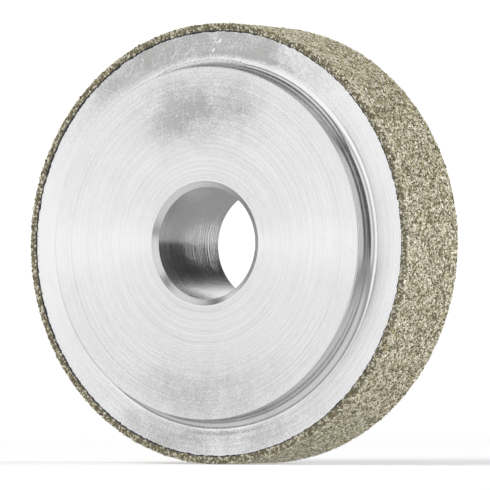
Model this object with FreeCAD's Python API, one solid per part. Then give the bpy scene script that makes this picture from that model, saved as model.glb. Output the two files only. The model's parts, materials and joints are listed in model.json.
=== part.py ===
import FreeCAD, Part
import math
import os

# Electroplated diamond grinding wheel, in millimetres.
# The wheel turns about the Y axis. Its raised boss faces -Y and its plain back face faces +Y.
# The origin is on the axis, halfway between the boss face and the back face.

# Driving dimensions
grit_diameter = 100.0        # over the tips of the grains
rim_width = 23.4             # from the tips on the front face to the back face
overall_thickness = 28.0     # from the boss face to the back face
boss_diameter = 80.0
bore_diameter = 25.4         # 1 inch arbor
front_countersink_width = 1.4
front_countersink_depth = 1.0
back_countersink = 0.8       # 45 degrees
boss_foot_radius = 2.0       # radius left by the turning tool
boss_edge_break = 0.2
hub_corner_radius = 0.3      # corner between the rim and the front face, under the plating

nickel_thickness = 0.25
grain_exposure = 0.2         # how far the grains stand out of the nickel
plated_ring_width = 1.9      # how far the plating reaches inwards on the front face

# Worked out from them
grit_radius = grit_diameter / 2
nickel_radius = grit_radius - grain_exposure
hub_radius = nickel_radius - nickel_thickness
boss_radius = boss_diameter / 2
bore_radius = bore_diameter / 2
boss_face_y = -overall_thickness / 2
back_face_y = overall_thickness / 2
front_grit_y = back_face_y - rim_width
front_nickel_y = front_grit_y + grain_exposure
front_face_y = front_nickel_y + nickel_thickness
plating_inner_radius = grit_radius - plated_ring_width
grit_inner_radius = plating_inner_radius + nickel_thickness


def point(radius, y):
    """A point of a half section: its distance from the axis, and its place along the axis."""
    return FreeCAD.Vector(radius, y, 0)


def arc(centre, radius, start_degrees, end_degrees):
    """The shorter arc from one direction to another about a centre of the half section."""
    def at(degrees):
        turn = math.radians(degrees)
        return centre + FreeCAD.Vector(radius * math.cos(turn), radius * math.sin(turn), 0)
    middle_degrees = (start_degrees + end_degrees) / 2
    return Part.Arc(at(start_degrees), at(middle_degrees), at(end_degrees)).toShape()


def line(start, end):
    return Part.makeLine(start, end)


def turned(edges):
    """The solid made by turning a closed half section once round the Y axis."""
    section = Part.Face(Part.Wire(Part.__sortEdges__(edges)))
    solid = section.revolve(FreeCAD.Vector(0, 0, 0), FreeCAD.Vector(0, 1, 0), 360)
    if solid.Volume < 0:
        solid.reverse()
    return solid


def hub():
    """Turned aluminium body: flange, raised boss with a filleted foot, countersunk bore."""
    countersink_front = point(bore_radius + front_countersink_width, boss_face_y)
    boss_face_end = point(boss_radius - boss_edge_break, boss_face_y)
    boss_wall_start = point(boss_radius, boss_face_y + boss_edge_break)
    foot_centre = point(boss_radius + boss_foot_radius, front_face_y - boss_foot_radius)
    boss_wall_end = point(boss_radius, foot_centre.y)
    foot_end = point(foot_centre.x, front_face_y)
    corner_centre = point(hub_radius - hub_corner_radius, front_face_y + hub_corner_radius)
    face_end = point(corner_centre.x, front_face_y)
    rim_start = point(hub_radius, corner_centre.y)
    rim_end = point(hub_radius, back_face_y)
    countersink_back = point(bore_radius + back_countersink, back_face_y)
    bore_end = point(bore_radius, back_face_y - back_countersink)
    bore_start = point(bore_radius, boss_face_y + front_countersink_depth)
    return turned([
        line(countersink_front, boss_face_end),
        line(boss_face_end, boss_wall_start),
        line(boss_wall_start, boss_wall_end),
        arc(foot_centre, boss_foot_radius, 180, 90),
        line(foot_end, face_end),
        arc(corner_centre, hub_corner_radius, -90, 0),
        line(rim_start, rim_end),
        line(rim_end, countersink_back),
        line(countersink_back, bore_end),
        line(bore_end, bore_start),
        line(bore_start, countersink_front),
    ])


def plated_layer(inner_thickness, outer_thickness, inner_edge_radius, outer_edge_radius):
    """A layer over the rim and round the front corner, between two heights above the hub.

    It ends flush with the back face, and on the front face at the two edge radii, one at
    each height.
    """
    corner = point(hub_radius - hub_corner_radius, front_face_y + hub_corner_radius)
    inner_corner = hub_corner_radius + inner_thickness
    outer_corner = hub_corner_radius + outer_thickness
    inner_front_y = front_face_y - inner_thickness
    outer_front_y = front_face_y - outer_thickness
    inner_rim = hub_radius + inner_thickness
    outer_rim = hub_radius + outer_thickness
    return turned([
        line(point(inner_edge_radius, inner_front_y), point(outer_edge_radius, outer_front_y)),
        line(point(outer_edge_radius, outer_front_y), point(corner.x, outer_front_y)),
        arc(corner, outer_corner, -90, 0),
        line(point(outer_rim, corner.y), point(outer_rim, back_face_y)),
        line(point(outer_rim, back_face_y), point(inner_rim, back_face_y)),
        line(point(inner_rim, back_face_y), point(inner_rim, corner.y)),
        arc(corner, inner_corner, 0, -90),
        line(point(corner.x, inner_front_y), point(inner_edge_radius, inner_front_y)),
    ])


def nickel_bond():
    """Electroplated nickel over the rim and the outer edge of the front face."""
    return plated_layer(0.0, nickel_thickness, plating_inner_radius, grit_inner_radius)


def diamond_grit():
    """Envelope of the grain tips that stand out of the nickel: one layer of grains."""
    full_thickness = nickel_thickness + grain_exposure
    return plated_layer(nickel_thickness, full_thickness, grit_inner_radius, grit_inner_radius)


pieces = {
    "hub": hub(),
    "nickel_bond": nickel_bond(),
    "diamond_grit": diamond_grit(),
}

os.makedirs("parts", exist_ok=True)
for name, shape in pieces.items():
    shape.exportStep("parts/" + name + ".step")
    box = shape.optimalBoundingBox()
    size = [round(value, 2) for value in (box.XLength, box.YLength, box.ZLength)]
    print(name, "valid" if shape.isValid() else "broken", round(shape.Volume), "mm3", size, "mm")
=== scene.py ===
import json
import math
import random

import bmesh
import bpy
import numpy as np
from mathutils import Matrix, Vector, noise


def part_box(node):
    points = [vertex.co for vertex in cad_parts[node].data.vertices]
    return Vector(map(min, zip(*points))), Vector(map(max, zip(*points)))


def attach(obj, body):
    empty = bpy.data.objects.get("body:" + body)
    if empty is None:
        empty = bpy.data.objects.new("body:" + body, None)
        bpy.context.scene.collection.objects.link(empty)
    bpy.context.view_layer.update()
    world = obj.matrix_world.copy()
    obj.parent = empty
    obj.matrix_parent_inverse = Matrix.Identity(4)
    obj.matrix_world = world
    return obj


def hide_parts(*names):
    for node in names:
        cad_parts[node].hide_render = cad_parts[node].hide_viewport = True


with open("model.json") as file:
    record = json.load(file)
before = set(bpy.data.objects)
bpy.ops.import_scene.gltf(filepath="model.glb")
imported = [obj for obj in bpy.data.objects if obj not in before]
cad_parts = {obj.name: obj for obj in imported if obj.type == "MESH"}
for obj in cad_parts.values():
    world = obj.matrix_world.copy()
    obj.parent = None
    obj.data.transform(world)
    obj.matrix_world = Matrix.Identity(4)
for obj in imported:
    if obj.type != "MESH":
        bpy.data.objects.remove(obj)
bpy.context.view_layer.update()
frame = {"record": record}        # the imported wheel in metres: axis along Y, boss towards -Y, Z up
random.seed(41)
mm = 0.001

hubLow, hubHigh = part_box("hub")
nickelLow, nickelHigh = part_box("nickel_bond")
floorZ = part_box("diamond_grit")[0].z       # the wheel stands on its grains
bore = next(mount for mount in frame["record"]["mounts"] if mount["name"] == "bore")
boreRadius = bore["dims"]["r_mm"] * mm
rimRadius = hubHigh.x                  # bare aluminium under the plating
nickelRadius = nickelHigh.x
nickelThickness = nickelRadius - rimRadius
bossFaceY = hubLow.y
backFaceY = hubHigh.y
frontFaceY = nickelLow.y + nickelThickness     # the aluminium face round the boss


def say(words):
    print("scene:", words, flush=True)


class Signal:
    # one shader output, written into sums like a number

    def __init__(self, recipe, socket):
        self.recipe = recipe
        self.socket = socket

    def __add__(self, other):
        return self.recipe.maths("ADD", self, other)

    def __radd__(self, other):
        return self.recipe.maths("ADD", other, self)

    def __sub__(self, other):
        return self.recipe.maths("SUBTRACT", self, other)

    def __rsub__(self, other):
        return self.recipe.maths("SUBTRACT", other, self)

    def __mul__(self, other):
        return self.recipe.maths("MULTIPLY", self, other)

    def __rmul__(self, other):
        return self.recipe.maths("MULTIPLY", other, self)

    def __truediv__(self, other):
        return self.recipe.maths("DIVIDE", self, other)

    def __rtruediv__(self, other):
        return self.recipe.maths("DIVIDE", other, self)

    def __pow__(self, other):
        return self.recipe.maths("POWER", self, other)


class Recipe:
    # the node tree of one material, or of the world

    def __init__(self, owner):
        self.owner = owner
        owner.use_nodes = True
        self.tree = owner.node_tree
        self.tree.nodes.clear()

    def node(self, kind, settings=None, inputs=None, output=0):
        made = self.tree.nodes.new(kind)
        for key, value in (settings or {}).items():
            if key == "stops":
                self.fillRamp(made.color_ramp, value)
            else:
                setattr(made, key, value)
        for key, value in (inputs or {}).items():
            if isinstance(value, Signal):
                self.tree.links.new(value.socket, made.inputs[key])
            else:
                made.inputs[key].default_value = value
        return Signal(self, made.outputs[output]) if made.outputs else made

    def fillRamp(self, ramp, stops):
        while len(ramp.elements) < len(stops):
            ramp.elements.new(1.0)
        for element, (place, colour) in zip(ramp.elements, stops):
            element.position = place
            element.color = (*colour, 1.0) if len(colour) == 3 else colour

    def maths(self, operation, *values):
        return self.node("ShaderNodeMath", {"operation": operation}, dict(enumerate(values)))

    def noise(self, vector, scale, detail=2.0, roughness=0.5):
        return self.node("ShaderNodeTexNoise", {"noise_dimensions": "3D"},
                         {"Vector": vector, "Scale": scale, "Detail": detail,
                          "Roughness": roughness})

    def noiseAlong(self, place, scale, detail=2.0, roughness=0.5):
        return self.node("ShaderNodeTexNoise", {"noise_dimensions": "1D"},
                         {"W": place, "Scale": scale, "Detail": detail, "Roughness": roughness})

    def band(self, value, low, high):
        # 0 up to low and 1 from high, or the other way round when low is the greater
        return self.node("ShaderNodeMapRange", {"interpolation_type": "SMOOTHSTEP"},
                         {"Value": value, "From Min": low, "From Max": high})

    def mix(self, share, first, second):
        # a Mix node keeps its two colours in sockets 6 and 7
        return self.node("ShaderNodeMix", {"data_type": "RGBA"},
                         {0: share, 6: first, 7: second}, output=2)

    def axes(self, vector):
        return [self.node("ShaderNodeSeparateXYZ", {}, {0: vector}, output=axis)
                for axis in range(3)]

    def place(self):
        # object coordinates, in metres
        return self.node("ShaderNodeTexCoord", {}, {}, output=3)

    def bump(self, height, distance):
        return self.node("ShaderNodeBump", {}, {"Height": height, "Distance": distance})

    def finish(self, inputs):
        surface = self.node("ShaderNodeBsdfPrincipled", {}, inputs)
        self.node("ShaderNodeOutputMaterial", {}, {"Surface": surface})
        return self.owner


def newRecipe(name):
    return Recipe(bpy.data.materials.new(name))


def grey(value):
    return (value, value, value, 1.0)


def newObject(name, bm, material):
    mesh = bpy.data.meshes.new(name)
    bm.to_mesh(mesh)
    bm.free()
    mesh.materials.append(material)
    made = bpy.data.objects.new(name, mesh)
    bpy.context.scene.collection.objects.link(made)
    return made


def roundedOutline(corners, steps=8, hold=0.06 * mm):
    # a closed half section from (radius, y, rounding) corners. Each rounding has a short run
    # held straight on both sides, so that the flats stay flat when shaded smooth
    points = []
    for index, (radius, y, rounding) in enumerate(corners):
        here = Vector((radius, y))
        before = (Vector(corners[index - 1][:2]) - here).normalized()
        after = (Vector(corners[(index + 1) % len(corners)][:2]) - here).normalized()
        half = before.angle(after) / 2
        reach = rounding / math.tan(half)
        centre = here + (before + after).normalized() * rounding / math.sin(half)
        start = here + before * reach
        end = here + after * reach
        points.append(start + before * hold)
        for step in range(steps + 1):
            arm = (start - centre).normalized().slerp((end - centre).normalized(), step / steps)
            points.append(centre + arm * rounding)
        points.append(end + after * hold)
    return points


def turned(points, steps):
    # the closed skin made by turning a closed half section once round the wheel's axis
    bm = bmesh.new()
    line = [bm.verts.new((point.x, point.y, 0.0)) for point in points]
    edges = [bm.edges.new(pair) for pair in zip(line, line[1:] + line[:1])]
    bmesh.ops.spin(bm, geom=line + edges, cent=(0, 0, 0), axis=(0, 1, 0), angle=math.tau,
                   steps=steps, use_merge=True)
    bmesh.ops.remove_doubles(bm, verts=bm.verts, dist=1e-7)
    bmesh.ops.recalc_face_normals(bm, faces=bm.faces)
    return bm


camera = {
    "azimuth": 30.72,          # degrees to the right of the wheel's axis
    "elevation": -1.055,
    "lens": 440.8,             # mm on a 36 mm sensor
    "distance": 1.3663,
    "aimRight": 0.0020,        # metres from the wheel's middle
    "aimUp": -0.00019,
}


def makeCamera():
    turn = math.radians(camera["azimuth"])
    lift = math.radians(camera["elevation"])
    back = Vector((math.sin(turn) * math.cos(lift), -math.cos(turn) * math.cos(lift),
                   math.sin(lift)))
    right = Vector((math.cos(turn), math.sin(turn), 0.0))
    up = back.cross(right)
    data = bpy.data.cameras.new("camera")
    data.lens = camera["lens"]
    data.sensor_width = 36.0
    data.clip_end = 200.0
    made = bpy.data.objects.new("camera", data)
    bpy.context.scene.collection.objects.link(made)
    aim = right * camera["aimRight"] + up * camera["aimUp"]
    made.location = aim + back * camera["distance"]
    made.rotation_mode = "QUATERNION"
    made.rotation_quaternion = (-back).to_track_quat("-Z", "Y")
    bpy.context.scene.camera = made
    say("camera in place")


studio = {
    "floorRadius": 40.0,
    "floorColour": (0.88, 0.88, 0.88, 1.0),
    "nearGlow": 0.30,           # of the floor round the wheel
    "floorFade": (0.25, 0.80),  # the floor turns into the pale wall between these distances
    "glow": 1.12,               # of the pale wall; what follows are shares of it
    # what polished metal sees round the horizon, from behind, past the left, the front
    # and the right of the wheel, to behind again
    "round": [(0.0, 0.03), (0.01, 0.03), (0.03, 1.0), (0.13, 1.0), (0.15, 0.10), (0.235, 0.10),
              (0.26, 0.95), (0.50, 0.95), (0.525, 0.42), (0.56, 0.42), (0.575, 0.72),
              (0.60, 0.72), (0.615, 0.76), (0.64, 0.76), (0.66, 0.10), (0.77, 0.08),
              (0.885, 0.03), (1.0, 0.03)],
    "side": 3.2,                # a tall lit panel, right and a little behind
    "sideTurn": 0.815,
    "sideEdge": (0.042, 0.027),
    "ground": 0.30,
    "frontGround": 0.60,
    "overhead": 0.72,
    "backCeiling": 0.10,
    "frontCeiling": 0.12,
    # the rest are sines of elevation, each pair the two ends of a soft edge
    "frontLow": 0.10,           # the wall reaches this far down in front
    "wallFoot": (-0.005, 0.04),
    "wallTop": (0.60, 0.67),
    "steepGround": (-0.22, -0.48),
    "overheadFoot": (0.74, 0.80),
    "overheadTop": (0.985, 0.95),
    "sideFoot": (-0.70, -0.50),
    "sideTop": (0.75, 0.55),
}
lamps = {
    "keyLight": {"at": (-0.8, -1.0, 1.1), "size": (1.0, 1.0), "power": 11.0},
    "sideLight": {"at": (1.14, 0.36, 0.12), "size": (0.7, 0.8), "power": 8.0},
}


def makeStudio():
    bm = bmesh.new()
    bmesh.ops.create_circle(bm, cap_ends=True, segments=96, radius=studio["floorRadius"],
                            matrix=Matrix.Translation((0.0, 0.0, floorZ)))
    recipe = newRecipe("paleFloor")
    away = recipe.node("ShaderNodeVectorMath", {"operation": "LENGTH"}, {0: recipe.place()},
                       output=1)
    share = recipe.band(away, *studio["floorFade"])
    glow = recipe.mix(share, grey(studio["nearGlow"]), grey(1.0))
    material = recipe.finish({"Base Color": recipe.mix(share, studio["floorColour"], grey(0.0)),
                              "Roughness": 0.9, "Specular IOR Level": 0.0,
                              "Emission Color": glow, "Emission Strength": studio["glow"]})
    floor = newObject("floor", bm, material)
    floor.visible_glossy = False          # the world's own ground stands in for it
    floor.visible_diffuse = False
    makeWorld()
    for name, lamp in lamps.items():
        softBox(name, **lamp)
    bpy.context.scene.view_settings.view_transform = "Standard"
    say("floor and lights in place")


def makeWorld():
    world = bpy.data.worlds.new("studio")
    bpy.context.scene.world = world
    recipe = Recipe(world)
    toward = recipe.node("ShaderNodeTexCoord", {}, {}, output=0)
    right, behind, up = recipe.axes(toward)
    turn = recipe.maths("ARCTAN2", right, 0.0 - behind) / math.tau + 0.5
    stops = [(place, grey(share)) for place, share in studio["round"]]
    wall = recipe.node("ShaderNodeValToRGB", {"stops": stops}, {0: turn})
    front = recipe.band(0.0 - behind, 0.0, 0.4)
    ceiling = recipe.mix(front, grey(studio["backCeiling"]), grey(studio["frontCeiling"]))
    over = recipe.band(up, *studio["wallTop"])
    under = recipe.band(0.0 - up - front * studio["frontLow"], *studio["wallFoot"])
    steep = front * recipe.band(up, *studio["steepGround"])
    ground = recipe.mix(steep, grey(studio["ground"]), grey(studio["frontGround"]))
    seen = recipe.mix(under, recipe.mix(over, wall, ceiling), ground)
    high = front * recipe.band(up, *studio["overheadFoot"])
    high = high * recipe.band(up, *studio["overheadTop"])
    seen = recipe.mix(high, seen, grey(studio["overhead"]))
    tall = recipe.band(up, *studio["sideTop"]) * recipe.band(up, *studio["sideFoot"])
    off = recipe.maths("ABSOLUTE", turn - studio["sideTurn"])
    aside = tall * recipe.band(off, *studio["sideEdge"])
    seen = recipe.mix(aside, seen, grey(studio["side"]))
    plain = recipe.node("ShaderNodeLightPath", {}, {}, output=0)     # the backdrop itself is white
    glow = recipe.node("ShaderNodeBackground", {}, {"Color": recipe.mix(plain, seen, grey(1.0)),
                                                    "Strength": studio["glow"]})
    recipe.node("ShaderNodeOutputWorld", {}, {"Surface": glow})


def softBox(name, at, size, power):
    data = bpy.data.lights.new(name, "AREA")
    data.shape = "RECTANGLE"
    data.size, data.size_y = size
    data.energy = power
    lamp = bpy.data.objects.new(name, data)
    bpy.context.scene.collection.objects.link(lamp)
    lamp.location = at
    lamp.rotation_mode = "QUATERNION"
    lamp.rotation_quaternion = (-Vector(at)).to_track_quat("-Z", "Y")
    lamp.visible_camera = False
    lamp.visible_glossy = False         # polished metal mirrors the world's panels instead


aluminium = {
    "colour": (0.90, 0.90, 0.905, 1.0),
    # the darker colour: random mottling, and painted shade on the top and bottom of the front faces
    "stainAndShade": (0.48, 0.48, 0.475, 1.0),
    "roughness": 0.20,
    "steps": 320,                 # round the wheel
    "bossRadius": 40.0 * mm,
    "footRadius": 2.0 * mm,
    "frontCountersink": (1.4 * mm, 1.0 * mm),     # width and depth
    "backCountersink": 0.8 * mm,
    "grooveHeight": 0.000034,
    "groovesPerMm": 11.0,
    "stepGrooves": 0.12,          # their height on the boss's wall and foot, against its face
    "faceGrooves": 0.7,           # and on the face round the boss
    "boreGrooves": 0.75,
    "boreRingsPerMm": 1.7,        # darker and paler rings down the bore
    "grainScale": 2200.0,         # noises in the metal, per metre
    "blotchScale": 70.0,
    # painted shade: darker arcs at the top and bottom of the turned front faces, where the turning
    # reflects less light:
    # radius mm, half width mm, angle and half angle in degrees, and how dark
    "paintedShadeArcs": [(43.4, 1.5, 82, 32, 1.8), (43.0, 0.8, -86, 16, 1.8), (45.8, 6.0, 95, 70, 1.5),
                (45.8, 6.0, -92, 60, 0.85), (31.0, 14.0, 92, 48, 1.2), (35.0, 14.0, -90, 50, 0.7)],
    "scuff": (41.0, 1.3, 96, 26, 1.0),            # knocked in the boss's foot
    "scratches": [(260.0, 0.5), (200.0, 2.1), (340.0, 1.3)],     # cells per metre, and turn
    "scratchWidth": 0.009,
}


def streak(recipe, radius, angle, settings):
    middle, width, turn, spread, depth = settings
    near = recipe.band(recipe.maths("ABSOLUTE", radius - middle), width, 0.0)
    swing = recipe.maths("WRAP", angle - math.radians(turn), math.pi, -math.pi)
    facing = recipe.band(recipe.maths("ABSOLUTE", swing), math.radians(spread), 0.0)
    return near * facing * depth


def hairlines(recipe, place, scale, turn):
    # short straight scratches: cell borders, broken up by a noise
    laid = recipe.node("ShaderNodeMapping", {}, {"Vector": place, "Rotation": (0.0, turn, 0.0),
                                                 "Scale": (1.0, 1.0, 0.35)})
    border = recipe.node("ShaderNodeTexVoronoi", {"feature": "DISTANCE_TO_EDGE"},
                         {"Vector": laid, "Scale": scale})
    broken = recipe.band(recipe.noise(place, scale * 1.7, detail=1.0), 0.52, 0.60)
    return recipe.band(border, aluminium["scratchWidth"], 0.0) * broken


def turnedAluminium():
    recipe = newRecipe("turnedAluminium")
    place = recipe.place()
    x, y, z = recipe.axes(place)
    radius = (x * x + z * z) ** 0.5 * 1000.0          # in mm
    depth = y * 1000.0
    angle = recipe.maths("ARCTAN2", z, x)
    track = radius + depth                            # runs along every turned surface

    inBore = recipe.band(radius, boreRadius / mm + 0.25, boreRadius / mm + 0.05)
    inFront = recipe.band(depth, 0.0, frontFaceY / mm + 0.5)
    fromFoot = recipe.maths("ABSOLUTE", radius - 41.0)     # from the middle of the boss's foot
    onStep = recipe.band(depth, bossFaceY / mm + 0.05, bossFaceY / mm + 0.3)
    onStep = onStep * recipe.band(depth, 0.0, -5.0) * recipe.band(fromFoot, 1.35, 1.05)
    onFace = recipe.band(radius, 42.0, 42.4)      # and on the back, beyond that radius

    cut = 1.0 + inBore * (aluminium["boreGrooves"] - 1.0)
    cut = cut + onStep * (aluminium["stepGrooves"] - 1.0)
    cut = cut + onFace * (aluminium["faceGrooves"] - 1.0)
    grooves = recipe.noiseAlong(track, aluminium["groovesPerMm"], detail=3.0, roughness=0.7)
    broad = recipe.noiseAlong(track, 0.9, detail=3.0, roughness=0.6)
    rings = recipe.noiseAlong(depth, aluminium["boreRingsPerMm"], detail=3.0, roughness=0.7)
    grain = recipe.noise(place, aluminium["grainScale"], detail=3.0, roughness=0.7)
    blotch = recipe.noise(place, aluminium["blotchScale"], detail=4.0, roughness=0.65)
    lines = sum(hairlines(recipe, place, scale, turn) for scale, turn in aluminium["scratches"])
    scuff = streak(recipe, radius, angle, aluminium["scuff"])
    scuff = recipe.band(scuff * 2.0 + grain, 1.0, 1.3) * inFront

    # painted shade: the top and bottom of the front faces darkened where the turning reflects less
    # light, broken up and mottled by the noises
    paintedShadeArcs = sum(streak(recipe, radius, angle, settings) for settings in aluminium["paintedShadeArcs"])
    mottleAndShade = paintedShadeArcs * inFront * recipe.band(blotch, 0.15, 0.75) + (blotch - 0.5) * 0.28
    mottleAndShade = mottleAndShade + (grain - 0.5) * (0.35 + paintedShadeArcs * 1.3)
    tone = mottleAndShade + inBore * (rings - 0.45) * 1.2 + (broad - 0.5) * 0.05
    tone = tone - lines * mottleAndShade * 1.6 + scuff * (grain - 0.55) * 5.0
    tone = recipe.band(tone, -0.2, 1.1)
    roughness = aluminium["roughness"] + (broad - 0.5) * 0.02 + (blotch - 0.5) * 0.10
    roughness = roughness - onStep * 0.08 + lines * 0.05 + scuff * 0.25
    ridges = grooves * cut + lines * 0.1 + grain * (0.4 + scuff * 3.0)
    return recipe.finish({"Base Color": recipe.mix(tone, aluminium["colour"], aluminium["stainAndShade"]),
                          "Metallic": 1.0, "Roughness": roughness,
                          "Normal": recipe.bump(ridges, aluminium["grooveHeight"])})


def makeHub():
    sinkWidth, sinkDepth = aluminium["frontCountersink"]
    backSink = aluminium["backCountersink"]
    bossRadius = aluminium["bossRadius"]
    corners = [(boreRadius + sinkWidth, bossFaceY, 0.06 * mm),     # from the bore outwards
               (bossRadius, bossFaceY, 0.28 * mm),
               (bossRadius, frontFaceY, aluminium["footRadius"]),
               (rimRadius, frontFaceY, 0.3 * mm),
               (rimRadius, backFaceY, 0.08 * mm),
               (boreRadius + backSink, backFaceY, 0.06 * mm),
               (boreRadius, backFaceY - backSink, 0.06 * mm),
               (boreRadius, bossFaceY + sinkDepth, 0.06 * mm)]
    bm = turned(roundedOutline(corners), aluminium["steps"])
    piece = newObject("turnedHub", bm, turnedAluminium())
    piece.data.shade_smooth()
    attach(piece, "root")
    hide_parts("hub")
    say(f"hub turned, {len(piece.data.polygons)} faces")


plating = {
    "colour": (0.38, 0.34, 0.26, 1.0),
    "deep": (0.10, 0.085, 0.05, 1.0),
    "edge": (0.05, 0.056, 0.07, 1.0),         # stained along its border
    "metallic": 0.85,
    "roughness": 0.42,
    "lumpHeight": 0.00008,
    "ringInner": nickelRadius - 1.75 * mm,    # bare nickel reaches this far in on the front
    "grainsFrom": nickelRadius - 1.50 * mm,
    "cornerSize": 0.55 * mm,
    "raggedness": 0.22 * mm,      # how far the plating's edge wanders
    "raggedScales": (1400.0, 4200.0),
    "steps": 640,                 # round the wheel
    "sunk": 0.05 * mm,            # its inner skin lies this far inside the aluminium
}


def nickelMaterial():
    recipe = newRecipe("electroplatedNickel")
    place = recipe.place()
    x, y, z = recipe.axes(place)
    radius = (x * x + z * z) ** 0.5
    lumps = recipe.noise(place, 1800.0, detail=3.0)
    colour = recipe.mix(recipe.noise(place, 900.0, detail=2.0), plating["deep"], plating["colour"])
    atEdge = recipe.band(radius, plating["grainsFrom"] + 0.2 * mm, plating["ringInner"] + 0.1 * mm)
    return recipe.finish({"Base Color": recipe.mix(atEdge, colour, plating["edge"]),
                          "Metallic": plating["metallic"], "Roughness": plating["roughness"],
                          "Normal": recipe.bump(lumps, plating["lumpHeight"])})


def makeNickel():
    corners = [(plating["ringInner"], nickelLow.y + 0.12 * mm, 0.08 * mm),
               (nickelRadius, nickelLow.y, plating["cornerSize"]),
               (nickelRadius, backFaceY, 0.04 * mm),
               (rimRadius - plating["sunk"], backFaceY, 0.01 * mm),
               (rimRadius - plating["sunk"], frontFaceY + plating["sunk"], 0.02 * mm),
               (plating["ringInner"], frontFaceY + plating["sunk"], 0.01 * mm)]
    bm = turned(roundedOutline(corners, steps=3, hold=0.01 * mm), plating["steps"])
    coarse, fine = plating["raggedScales"]
    for vertex in bm.verts:
        radius = math.hypot(vertex.co.x, vertex.co.z)
        if radius < plating["grainsFrom"]:
            wander = noise.noise(vertex.co * coarse) + 0.6 * noise.noise(vertex.co * fine)
            scale = 1.0 + plating["raggedness"] * wander / radius
            vertex.co.x *= scale
            vertex.co.z *= scale
    piece = newObject("nickelPlating", bm, nickelMaterial())
    piece.data.shade_smooth()
    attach(piece, "root")
    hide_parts("nickel_bond")
    say("nickel plated")


grains = {
    "shapes": 32,
    "facets": 5,                  # round a grain, under its sloping top
    "size": 0.60 * mm,            # across a grain
    "sizeSpread": 0.25,
    "smallest": 0.3 * mm,
    "ringSize": 0.72,             # on the front ring, against those on the rim
    "pitch": 0.58 * mm,           # between grains
    "jitter": 0.34,
    "height": 0.23 * mm,          # out of the nickel
    "heightSpread": 0.35,
    "lowest": 0.08 * mm,
    "highest": 0.42 * mm,
    "sunk": 0.12 * mm,            # and into it
    "tilt": 16.0,                 # degrees
    "backMargin": 0.3 * mm,       # the last row keeps this far from the back face
    "wearAndHighlightFrom": 0.5 * mm,         # the edge behind the corner is paler in places: painted highlight of the corner's glints, and wear
    "wearAndHighlightTo": 1.9 * mm,
    "sectors": 6,
}


def cutOff(bm, place, outward):
    cut = bmesh.ops.bisect_plane(bm, geom=bm.verts[:] + bm.edges[:] + bm.faces[:], plane_co=place,
                                 plane_no=outward, clear_outer=True)
    rim = [part for part in cut["geom_cut"] if isinstance(part, bmesh.types.BMEdge)]
    if rim:
        bmesh.ops.holes_fill(bm, edges=rim, sides=0)


def crystalTip():
    # the part of one crushed crystal that stands out of the nickel, 1 wide and 1 high
    bm = bmesh.new()
    bmesh.ops.create_cube(bm, size=1.0)
    bmesh.ops.translate(bm, verts=bm.verts, vec=(0, 0, 0.5))
    start = random.uniform(0, math.tau)
    for side in range(grains["facets"]):
        turn = start + math.tau * side / grains["facets"] + random.uniform(-0.35, 0.35)
        slope = math.radians(random.uniform(18, 62))
        outward = Vector((math.cos(turn) * math.cos(slope), math.sin(turn) * math.cos(slope),
                          math.sin(slope)))
        reach = random.uniform(0.30, 0.46) * math.cos(slope) + 0.62 * math.sin(slope)
        cutOff(bm, outward * reach, outward)
    turn = random.uniform(0, math.tau)
    lean = math.radians(random.uniform(2, 24))
    outward = Vector((math.cos(turn) * math.sin(lean), math.sin(turn) * math.sin(lean),
                      math.cos(lean)))
    cutOff(bm, Vector((0, 0, random.uniform(0.72, 0.95))), outward)
    bmesh.ops.remove_doubles(bm, verts=bm.verts, dist=0.03)
    bmesh.ops.triangulate(bm, faces=bm.faces)
    mesh = bpy.data.meshes.new("crystalTip")
    bm.to_mesh(mesh)
    bm.free()
    return mesh


def platedPath():
    # the outline over the nickel in a half section: front edge, corner, rim
    size = plating["cornerSize"]
    centre = Vector((nickelRadius - size, nickelLow.y + size))
    turns = [math.radians(-90 + 15 * step) for step in range(7)]
    corner = [centre + Vector((math.cos(turn), math.sin(turn))) * size for turn in turns]
    front = Vector((plating["grainsFrom"], nickelLow.y))
    return [front, *corner, Vector((nickelRadius, backFaceY))]


def placeOn(path, lengths, along):
    # point and outward direction on the outline, at a distance from its front edge
    for start, end, length in zip(path, path[1:], lengths):
        if along <= length or end is path[-1]:
            ahead = (end - start).normalized()
            return start + ahead * along, Vector((ahead.y, -ahead.x))
        along -= length


def grainPlaces():
    # jittered rows over the plated outline: point and outward direction in it, and angle
    path = platedPath()
    lengths = [(end - start).length for start, end in zip(path, path[1:])]
    whole = sum(lengths)
    rows = round(whole / (grains["pitch"] * 0.87))
    count = round(math.tau * nickelRadius / grains["pitch"])
    wobble = grains["jitter"] * grains["pitch"]
    for row in range(rows):
        shift = random.random()
        for step in range(count):
            along = (row + 0.5) * whole / rows + random.uniform(-wobble, wobble)
            along = min(along, whole - grains["backMargin"])
            angle = math.tau * (step + shift + random.uniform(-1, 1) * grains["jitter"]) / count
            yield *placeOn(path, lengths, along), angle % math.tau


def grainMaterial():
    recipe = newRecipe("diamondGrains")
    tint = recipe.node("ShaderNodeAttribute", {"attribute_name": "tint"}, {}, output=2)
    frost = recipe.noise(recipe.place(), 3200.0, detail=2.0)
    shade = recipe.maths("MINIMUM", tint + (frost - 0.5) * 0.6, recipe.maths("MAXIMUM", tint, 0.98))
    stops = [(0.0, (0.12, 0.098, 0.034)), (0.17, (0.265, 0.228, 0.10)),
             (0.40, (0.445, 0.40, 0.225)), (0.66, (0.68, 0.63, 0.46)),
             (0.94, (0.80, 0.755, 0.62)), (0.985, (0.82, 0.78, 0.66)),
             (0.99, (0.50, 0.28, 0.08)), (1.0, (0.55, 0.50, 0.10))]      # a few amber ones
    colour = recipe.node("ShaderNodeValToRGB", {"stops": stops}, {0: shade})
    return recipe.finish({"Base Color": colour, "Roughness": 0.17 + frost * 0.3, "IOR": 2.2})


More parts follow.
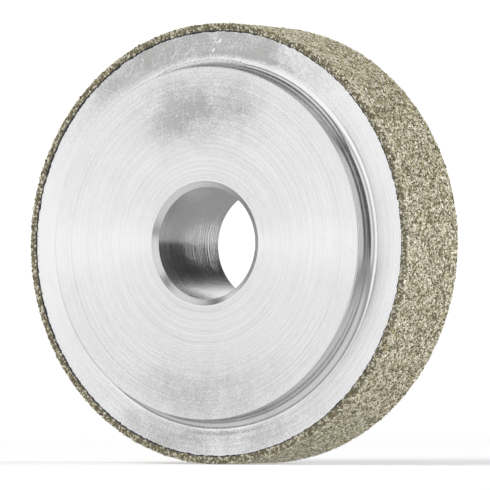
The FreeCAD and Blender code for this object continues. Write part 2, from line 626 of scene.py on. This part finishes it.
def makeGrains():
    tips = [crystalTip() for shape in range(grains["shapes"])]
    corners = [np.array([vertex.co for vertex in tip.vertices]) for tip in tips]
    sectors = [bmesh.new() for number in range(grains["sectors"])]
    tints = [[] for sector in sectors]
    axis = Vector((0.0, 1.0, 0.0))
    count = 0
    for point, outward, angle in grainPlaces():
        kind = random.randrange(len(tips))
        sector = int(angle / math.tau * len(sectors)) % len(sectors)
        size = max(grains["size"] * random.gauss(1.0, grains["sizeSpread"]), grains["smallest"])
        onRing = outward.x < 0.7            # the front face and half of the corner
        if onRing:
            size *= grains["ringSize"]
        height = max(grains["height"] * random.gauss(1.0, grains["heightSpread"]), grains["lowest"])
        height = min(height, grains["highest"]) + grains["sunk"]
        radial = Vector((math.cos(angle), 0.0, math.sin(angle)))
        up = radial * outward.x + axis * outward.y
        spun = Matrix.Rotation(random.uniform(0, math.tau), 3, up)
        side = spun @ up.orthogonal().normalized()
        lean = Matrix.Rotation(math.radians(random.gauss(0, grains["tilt"])), 3, side)
        across = up.cross(side) * size * random.uniform(0.75, 1.1)
        basis = lean @ Matrix((side * size, across, up * height)).transposed()
        origin = radial * point.x + axis * point.y - up * grains["sunk"]
        placed = corners[kind] @ np.array(basis).T + np.array(origin)
        tips[kind].vertices.foreach_set("co", placed.ravel())
        sectors[sector].from_mesh(tips[kind])
        tint = random.random()
        if onRing:
            tint = tint * 0.45 if tint < 0.44 else 0.24 + tint * 0.68    # dark or pale
        back = point.y - nickelLow.y
        # painted highlight: grains behind the corner made paler in patches, standing for the glints
        # along the corner as well as wear
        wearAndHighlight = noise.noise(Vector((angle * 25.0, back * 600.0, 0.0)))
        if grains["wearAndHighlightFrom"] < back < grains["wearAndHighlightTo"] and wearAndHighlight > -0.05 and not onRing:
            tint = min(0.45 + tint * 0.55, 0.97)
        spread = [min(max(tint + random.gauss(0, 0.07), 0.0), 1.0) for face in tips[kind].polygons]
        tints[sector].extend(spread if tint < 0.98 else [tint] * len(spread))
        count += 1
    material = grainMaterial()
    for number, (bm, values) in enumerate(zip(sectors, tints), 1):
        piece = newObject(f"diamondGrains{number}", bm, material)
        attribute = piece.data.attributes.new("tint", "FLOAT", "FACE")
        attribute.data.foreach_set("value", np.array(values, np.float32))
        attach(piece, "root")
        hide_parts("diamond_grit")
        say(f"{piece.name} has {len(piece.data.polygons)} triangles")
    for tip in tips:
        bpy.data.meshes.remove(tip)
    say(f"{count} grains set")


makeCamera()
makeStudio()
makeHub()
makeNickel()
makeGrains()
